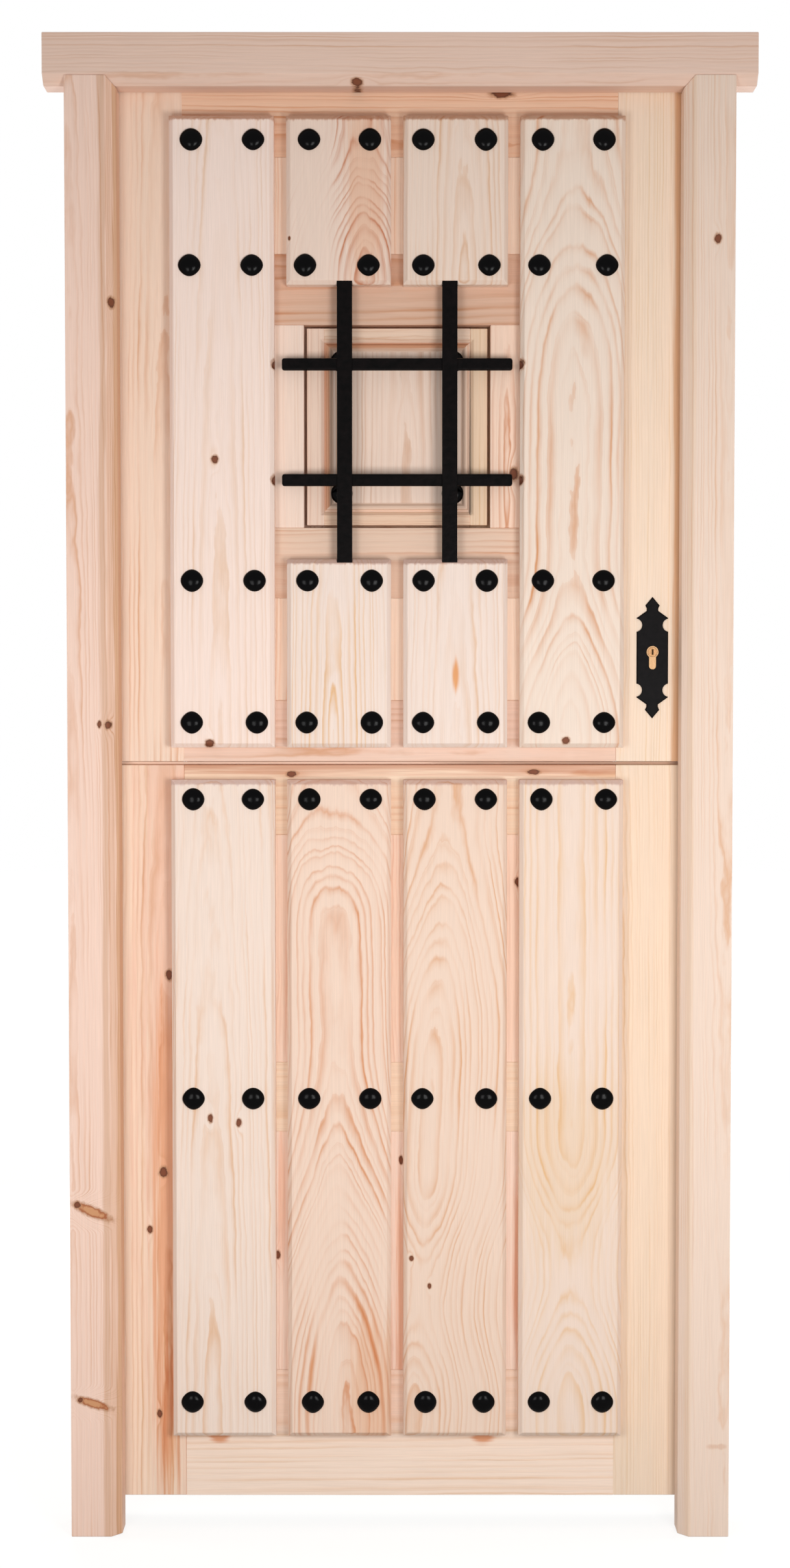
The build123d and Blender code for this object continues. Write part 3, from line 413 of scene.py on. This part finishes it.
def solid_middles(node_name):
    bm = bmesh.new()
    bm.from_mesh(nodes[node_name].data)
    bmesh.ops.remove_doubles(bm, verts=bm.verts, dist=0.00001)
    waiting = set(bm.verts)
    middles = []
    while waiting:
        stack = [waiting.pop()]
        island = []
        while stack:
            vert = stack.pop()
            island.append(vert.co.copy())
            for edge in vert.link_edges:
                other = edge.other_vert(vert)
                if other in waiting:
                    waiting.remove(other)
                    stack.append(other)
        low = [min(co[axis] for co in island) for axis in range(3)]
        high = [max(co[axis] for co in island) for axis in range(3)]
        middles.append(((low[0] + high[0]) / 2, low[1], (low[2] + high[2]) / 2))
    bm.free()
    return sorted(middles)


nail_radius = 0.0158
nail_height = 0.008
nail_flats = 0.038
nail_spread = 0.015
nail_lean = 0.05


def nail_heads(node_name, body, name):
    bm = bmesh.new()
    for count, (x, y, z) in enumerate(solid_middles(node_name)):
        dome = bmesh.ops.create_uvsphere(bm, u_segments=32, v_segments=16, radius=nail_radius)["verts"]
        bmesh.ops.delete(bm, geom=[v for v in dome if v.co.z < -0.0001], context="VERTS")
        dome = [v for v in dome if v.is_valid]
        hammered = nail_flats + nail_spread * math.sin(count * 1.7)
        for vert in dome:
            around = math.atan2(vert.co.y, vert.co.x)
            vert.co.xy *= 1 - hammered * math.sin(2 * around) ** 2
        lean = Matrix.Rotation(nail_lean * math.sin(count * 2.1), 4, "Y")
        squash = Matrix.Diagonal((1, 0.97 + 0.03 * math.sin(count), nail_height / nail_radius, 1))
        place = Matrix.Translation((x, y + nail_height, z)) @ Matrix.Rotation(math.pi / 2, 4, "X")
        bmesh.ops.transform(bm, verts=dome, matrix=place @ lean @ squash)
    return finish_mesh(bm, name, nail_iron, body, True)


for nails_name, nails_body in (
        ("upper_nails", "upper_leaf"), ("lower_nails", "lower_leaf"), ("shutter_nails", "shutter")):
    heads = nail_heads(nails_name, nails_body, nails_name[:-1] + "_heads")
    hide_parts(nails_name)


# Grille: two uprights and two cross bars of blackened forged iron over the window.
# The cross bars pass through eyes punched in the uprights, which swell round them.
upright_rounding = 0.002
bar_rounding = 0.003
for upright_name in ("grille_left_upright", "grille_right_upright"):
    dress(upright_name, black_iron, upright_rounding)
for bar_name in ("grille_lower_bar", "grille_upper_bar"):
    dress(bar_name, black_iron, bar_rounding)


# Shutter: small lipped door of raw pine behind the grille, stiles and rails round a flat panel.
# It hangs on the left post, stops against the window's front edge and opens into the house.
dress("shutter_hinge_stile", pine(
    "shutter_hinge_stile", "F2D4C0", "C4835E", ring=7.0, pith=(60, 20)), wood_rounding)
dress("shutter_free_stile", pine(
    "shutter_free_stile", "F0D0B2", "DEB080", ring=5.0, pith=(-64, 20)), wood_rounding)
dress("shutter_top_rail", pine(
    "shutter_top_rail", "F0D0B8", "DAA884", ring=3.6, pith=(20, 40), level=True), wood_rounding)
dress("shutter_bottom_rail", pine(
    "shutter_bottom_rail", "F0CCB0", "D89E78", ring=3.6, pith=(-20, 40), level=True), wood_rounding)
dress("shutter_panel", pine(
    "shutter_panel", "F5DAC8", "D29A72", ring=7.0, pith=(14, 26), tilt=20), wood_rounding)


# Panel moulding: a mitred pine bead glued round the shutter's panel, inside the stiles and rails.
# Its round back stands up between a narrow quirk at the frame and a soft fall to the panel.
bead_steps = (
    (0.0002, 0.0005), (0.0024, 0), (0.0003, 0.0030), (0.0011, 0.0016), (0.0016, 0.0006),
    (0.0020, -0.0006), (0.0020, -0.0020), (0.0014, -0.0020), (0.0014, -0.0006), (0.0002, -0.0005))
bead_breadth = sum(inward for inward, _ in bead_steps)
bead_back = 0.0101
groove = 0.007
panel_low, panel_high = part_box("shutter_panel")
panel_middle = (panel_low + panel_high) / 2
bead_width = panel_high.x - panel_low.x - 2 * groove
bead_height = panel_high.z - panel_low.z - 2 * groove
bm = bmesh.new()
field = bmesh.ops.create_grid(bm, x_segments=1, y_segments=1, size=0.5)["verts"]
bead_place = Matrix.Translation((panel_middle.x, bead_back, panel_middle.z)) @ (
    Matrix.Rotation(math.pi / 2, 4, "X"))
bmesh.ops.transform(bm, verts=field, matrix=bead_place @ Matrix.Diagonal((bead_width, bead_height, 1, 1)))
field = bm.faces[:]
for inward, outward in bead_steps:
    bmesh.ops.inset_region(
        bm, faces=field, use_boundary=True, use_even_offset=True, thickness=inward, depth=outward)
bmesh.ops.delete(bm, geom=field, context="FACES_ONLY")
bmesh.ops.bridge_loops(bm, edges=[edge for edge in bm.edges if edge.is_boundary])
# The line along the quirk on the left side and the line along the top are painted shade, the shadow in the
# quirk by the stile and under the top rail.
bead = finish_mesh(bm, "shutter_bead", pine(
    "shutter_panel", "EECDB6", "D6A080", ring=5.0, pith=(-40, 30), stains_and_shade=(
        (panel_low.x * 1000 + 9, 1554, 5, 900, "ECD2C0"),)), "shutter", False)
bead.data.materials.append(pine(
    "shutter_panel", "EECDB6", "D6A080", ring=4.0, pith=(30, 30), level=True, stains_and_shade=(
        (0, panel_high.z * 1000 - 9, 5, 900, "DDB9A0"),)))
for face in bead.data.polygons:
    if abs(face.center.z - panel_middle.z) > bead_height / 2 - bead_breadth:
        face.material_index = 1


# Lock: brass profile cylinder through two black escutcheons sawn from sheet iron.
# The steel case, forend and bolt sit in a mortise in the lock stile, the strike in the jamb.
# The brass is dull where it was turned; the plug in the middle is a little darker and smoother.
brass = metal("turned_brass", "8A6D50", 1.0, 0.38, 1.5, 0.00005)
plug_brass = metal("darker_plug_brass", "785A3E", 1.0, 0.32, 2.5, 0.00008)
steel = metal("zinc_plated_steel", "B4B4B0", 1.0, 0.36, 4, 0.00005)
black_plate = metal("blackened_sheet_iron", "100D0E", 0.0, 0.45, 7, 0.0003, shine=0.05, dark=0.5)
plate_rounding = 0.0012
brass_rounding = 0.0003
steel_rounding = 0.0004
for plate_name in ("outer_escutcheon", "inner_escutcheon"):
    dress(plate_name, black_plate, plate_rounding)
dress("cylinder_body", brass, brass_rounding)
dress("cylinder_plug", plug_brass, brass_rounding)
for steel_name in ("lock_case", "lock_forend", "dead_bolt", "strike_plate"):
    dress(steel_name, steel, steel_rounding)


# Hinges, barrel bolt and turn button: blackened iron fittings on the inside and in the joints.
# Each is bent or drawn from plate and bar, with a fine rounding on its edges.
fitting_rounding = 0.0005
for iron_name in (
        "jamb_hinge_halves", "upper_hinge_halves", "lower_hinge_halves", "shutter_fixed_hinges",
        "shutter_moving_hinges", "turn_button", "slide_bolt_plate", "slide_bolt", "bolt_keeper"):
    dress(iron_name, black_iron, fitting_rounding)


# Screws: slotted steel heads, blackened, that hold the hinge plates, bolt, keeper, forend and strike.
# Each is a low cone with a sawn slot, seated on its plate and turned a little differently.
screw_height = 0.0007
screw_seat = 0.00034
slot_share = 0.16
slot_depth = 0.0005
slot_draft = 0.00003


def screw_heads(name, body, normal, places, radius=0.0034):
    bm = bmesh.new()
    for count, place in enumerate(places):
        head = bmesh.ops.create_cone(
            bm, cap_ends=True, segments=24, radius1=radius, radius2=radius * 0.8,
            depth=screw_height)["verts"]
        bmesh.ops.translate(bm, verts=head, vec=(0, 0, screw_seat))
        for side in (-1, 1):
            geometry = [item for item in bm.verts if item in head]
            geometry += [edge for edge in bm.edges if edge.verts[0] in head]
            geometry += [face for face in bm.faces if face.verts[0] in head]
            cut = bmesh.ops.bisect_plane(
                bm, geom=geometry, plane_co=(side * radius * slot_share, 0, 0), plane_no=(1, 0, 0))
            head += [item for item in cut["geom_cut"] if isinstance(item, bmesh.types.BMVert)]
        slot = [face for face in bm.faces if face.verts[0] in head and face.normal.z > 0.99
                and abs(face.calc_center_median().x) < radius * 0.1]
        sunk = bmesh.ops.inset_region(bm, faces=slot, thickness=slot_draft, depth=-slot_depth)
        head += [vert for face in sunk["faces"] for vert in face.verts]
        head += [vert for face in slot for vert in face.verts]
        turn = Vector(normal).to_track_quat("Z", "Y").to_matrix().to_4x4()
        twist = Matrix.Rotation(1.3 * count, 4, "Z")
        spot = Matrix.Translation([size / 1000 for size in place])
        bmesh.ops.transform(bm, verts=list(set(head)), matrix=spot @ turn @ twist)
    screws = finish_mesh(bm, name, black_plate, body, False)


hinge_height = 0.11
jamb_edge = -403
leaf_edge = -400
hinge_middle = 20
jamb_screws = []
leaf_screws = {"upper_leaf": [], "lower_leaf": []}
for hinge_name, leaf_body in (("upper_hinge_halves", "upper_leaf"), ("lower_hinge_halves", "lower_leaf")):
    low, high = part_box(hinge_name)
    for middle in (low.z + hinge_height / 2, high.z - hinge_height / 2):
        for rise in (-40, 0, 40):
            jamb_screws.append((jamb_edge, hinge_middle, middle * 1000 + rise))
            leaf_screws[leaf_body].append((leaf_edge, hinge_middle, middle * 1000 + rise))
screw_heads("jamb_hinge_screws", "frame", (1, 0, 0), jamb_screws)
screw_heads("upper_hinge_screws", "upper_leaf", (-1, 0, 0), leaf_screws["upper_leaf"])
screw_heads("lower_hinge_screws", "lower_leaf", (-1, 0, 0), leaf_screws["lower_leaf"])
shutter_rises = (1445, 1473, 1635, 1663)
small_screw = 0.0028
button_screw = 0.0045
screw_heads("shutter_post_screws", "upper_leaf", (0, 1, 0), [
    (-158, 39.8, z) for z in shutter_rises], small_screw)
screw_heads("shutter_screws", "shutter", (0, 1, 0), [(-124, 39.8, z) for z in shutter_rises], small_screw)
screw_heads("bolt_plate_screws", "lower_leaf", (0, 1, 0), [
    (x, 40.5, z) for x in (328, 364) for z in (892.5, 917.5)])
screw_heads("keeper_screws", "frame", (0, 1, 0), [(439, 40.5, z) for z in (894, 916)])
screw_heads("inner_plate_screws", "upper_leaf", (0, 1, 0), [(353.5, 41, z) for z in (1183, 1280)])
screw_heads("forend_screws", "upper_leaf", (1, 0, 0), [(400, 18, z) for z in (1152, 1323)])
screw_heads("strike_screws", "frame", (-1, 0, 0), [(403, 18, z) for z in (1213, 1342)])
screw_heads("button_screw", "turn_button", (0, 1, 0), [(148, 44, 1554.1)], button_screw)


# Floor: plain pale studio floor under the frame's feet, matt, white to the eye.
# Its paint still takes the door's soft shadow round the two feet.
bm = bmesh.new()
floor_half = 12
bmesh.ops.create_grid(bm, x_segments=1, y_segments=1, size=floor_half)
mesh = bpy.data.meshes.new("studio_floor")
bm.to_mesh(mesh)
bm.free()
floor = bpy.data.objects.new("studio_floor", mesh)
bpy.context.scene.collection.objects.link(floor)
floor_paint = bpy.data.materials.new("white_studio_floor")
floor_paint.use_nodes = True
floor_tree = floor_paint.node_tree
floor_shader = floor_tree.nodes["Principled BSDF"]
floor_shader.inputs["Base Color"].default_value = linear("8C8C8A")
floor_shader.inputs["Roughness"].default_value = 0.9
floor_shader.inputs["Specular IOR Level"].default_value = 0.0
floor_shader.inputs["Emission Color"].default_value = (1, 1, 1, 1)
floor_rays = add(floor_tree, "ShaderNodeLightPath", {})
floor_seen = add(floor_tree, "ShaderNodeMath", {
    0: floor_rays.outputs["Is Camera Ray"], 1: floor_rays.outputs["Is Glossy Ray"]},
    operation="MAXIMUM").outputs[0]
floor_seen = add(floor_tree, "ShaderNodeMath", {
    0: floor_seen, 1: floor_rays.outputs["Is Transmission Ray"]}, operation="MAXIMUM").outputs[0]
floor_place = add(floor_tree, "ShaderNodeTexCoord", {}).outputs["Object"]
floor_reach = add(floor_tree, "ShaderNodeVectorMath", {
    0: floor_place}, operation="LENGTH").outputs["Value"]
floor_white = add(floor_tree, "ShaderNodeMapRange", {
    "Value": floor_reach, "From Min": 0.8, "From Max": 3.2, "To Min": 0.78, "To Max": 0.9}).outputs[0]
floor_glow = add(floor_tree, "ShaderNodeMath", {
    0: floor_seen, 1: floor_white}, operation="MULTIPLY").outputs[0]
floor_tree.links.new(floor_glow, floor_shader.inputs["Emission Strength"])
mesh.materials.append(floor_paint)


# Light: two soft lamps in front at mid height, the right one stronger, two behind, one at each side.
# An even white room fills in the shade and stands behind the door as a white background.
lamp_height = 0.9
for lamp_name, lamp_x, lamp_y, power in (
        ("right_softbox", 0.75, -1.95, 21), ("left_softbox", -0.75, -1.95, 12),
        ("back_right_softbox", 0.9, 2.3, 16), ("back_left_softbox", -0.9, 2.3, 16),
        ("right_side_softbox", 2.2, 0.12, 13), ("left_side_softbox", -2.2, 0.12, 13)):
    lamp = bpy.data.lights.new(lamp_name, "AREA")
    lamp.shape = "RECTANGLE"
    lamp.size = 0.6
    lamp.size_y = 0.8
    lamp.energy = power
    lamp_object = bpy.data.objects.new(lamp_name, lamp)
    lamp_place = Vector((lamp_x, lamp_y, lamp_height))
    lamp_target = Vector((0, 0, lamp_height))
    lamp_object.matrix_world = Matrix.Translation(lamp_place) @ (
        (lamp_target - lamp_place).to_track_quat("-Z", "Y").to_matrix().to_4x4())
    lamp_object.visible_camera = False
    bpy.context.scene.collection.objects.link(lamp_object)

world = bpy.data.worlds.new("white_room")
bpy.context.scene.world = world
world.use_nodes = True
sky = world.node_tree
room = sky.nodes["Background"]
rays = add(sky, "ShaderNodeLightPath", {})
seen = add(sky, "ShaderNodeMath", {
    0: rays.outputs["Is Camera Ray"], 1: rays.outputs["Is Glossy Ray"]}, operation="MAXIMUM").outputs[0]
seen = add(sky, "ShaderNodeMath", {
    0: seen, 1: rays.outputs["Is Transmission Ray"]}, operation="MAXIMUM").outputs[0]
level = add(sky, "ShaderNodeMapRange", {
    "Value": seen, "From Min": 0, "From Max": 1, "To Min": 0.42, "To Max": 1.0}).outputs[0]
room.inputs["Color"].default_value = (1, 1, 1, 1)
sky.links.new(level, room.inputs["Strength"])


# Camera: straight on from outside, a little above the middle of the door, tipped down slightly,
# so that the jambs draw together a little towards their feet.
camera = bpy.data.cameras.new("front_camera")
camera.sensor_fit = "VERTICAL"
camera.sensor_height = 36
camera.lens = 53.13
camera_object = bpy.data.objects.new("front_camera", camera)
camera_object.location = (-0.007, -3.252, 1.182)
tipped_down = 2.25
camera_object.rotation_euler = (math.radians(90 - tipped_down), 0, 0)
bpy.context.scene.collection.objects.link(camera_object)
bpy.context.scene.camera = camera_object
bpy.context.scene.view_settings.view_transform = "Standard"
